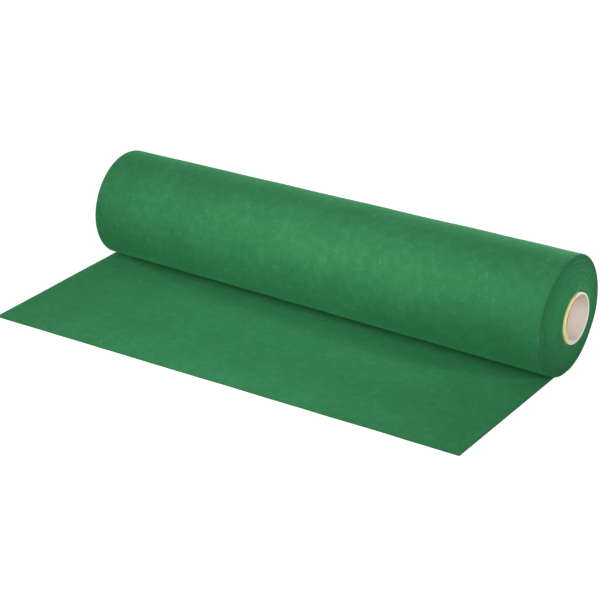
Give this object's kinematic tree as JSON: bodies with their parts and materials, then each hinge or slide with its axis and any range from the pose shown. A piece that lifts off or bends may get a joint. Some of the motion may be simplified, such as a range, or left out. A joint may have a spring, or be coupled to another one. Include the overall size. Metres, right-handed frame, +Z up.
{
  "type": "roll of felt",
  "caption": "Roll of plain green craft felt wound on a cardboard core, with its loose end unrolled flat in front of it.",
  "frame": {"origin": "on the surface that the roll lies on, under the roll's axis, halfway along the felt's width", "axes": "+X along the roll toward the end where the core stands proud, -Y the way the loose end runs, +Z up"},
  "size_m": [0.4617, 0.2335, 0.1039],
  "materials": {
    "felt": "matte",
    "core_board": "matte"
  },
  "bodies": {
    "root": {"felt": "felt", "core_tube": "core_board"}
  },
  "joints": []
}
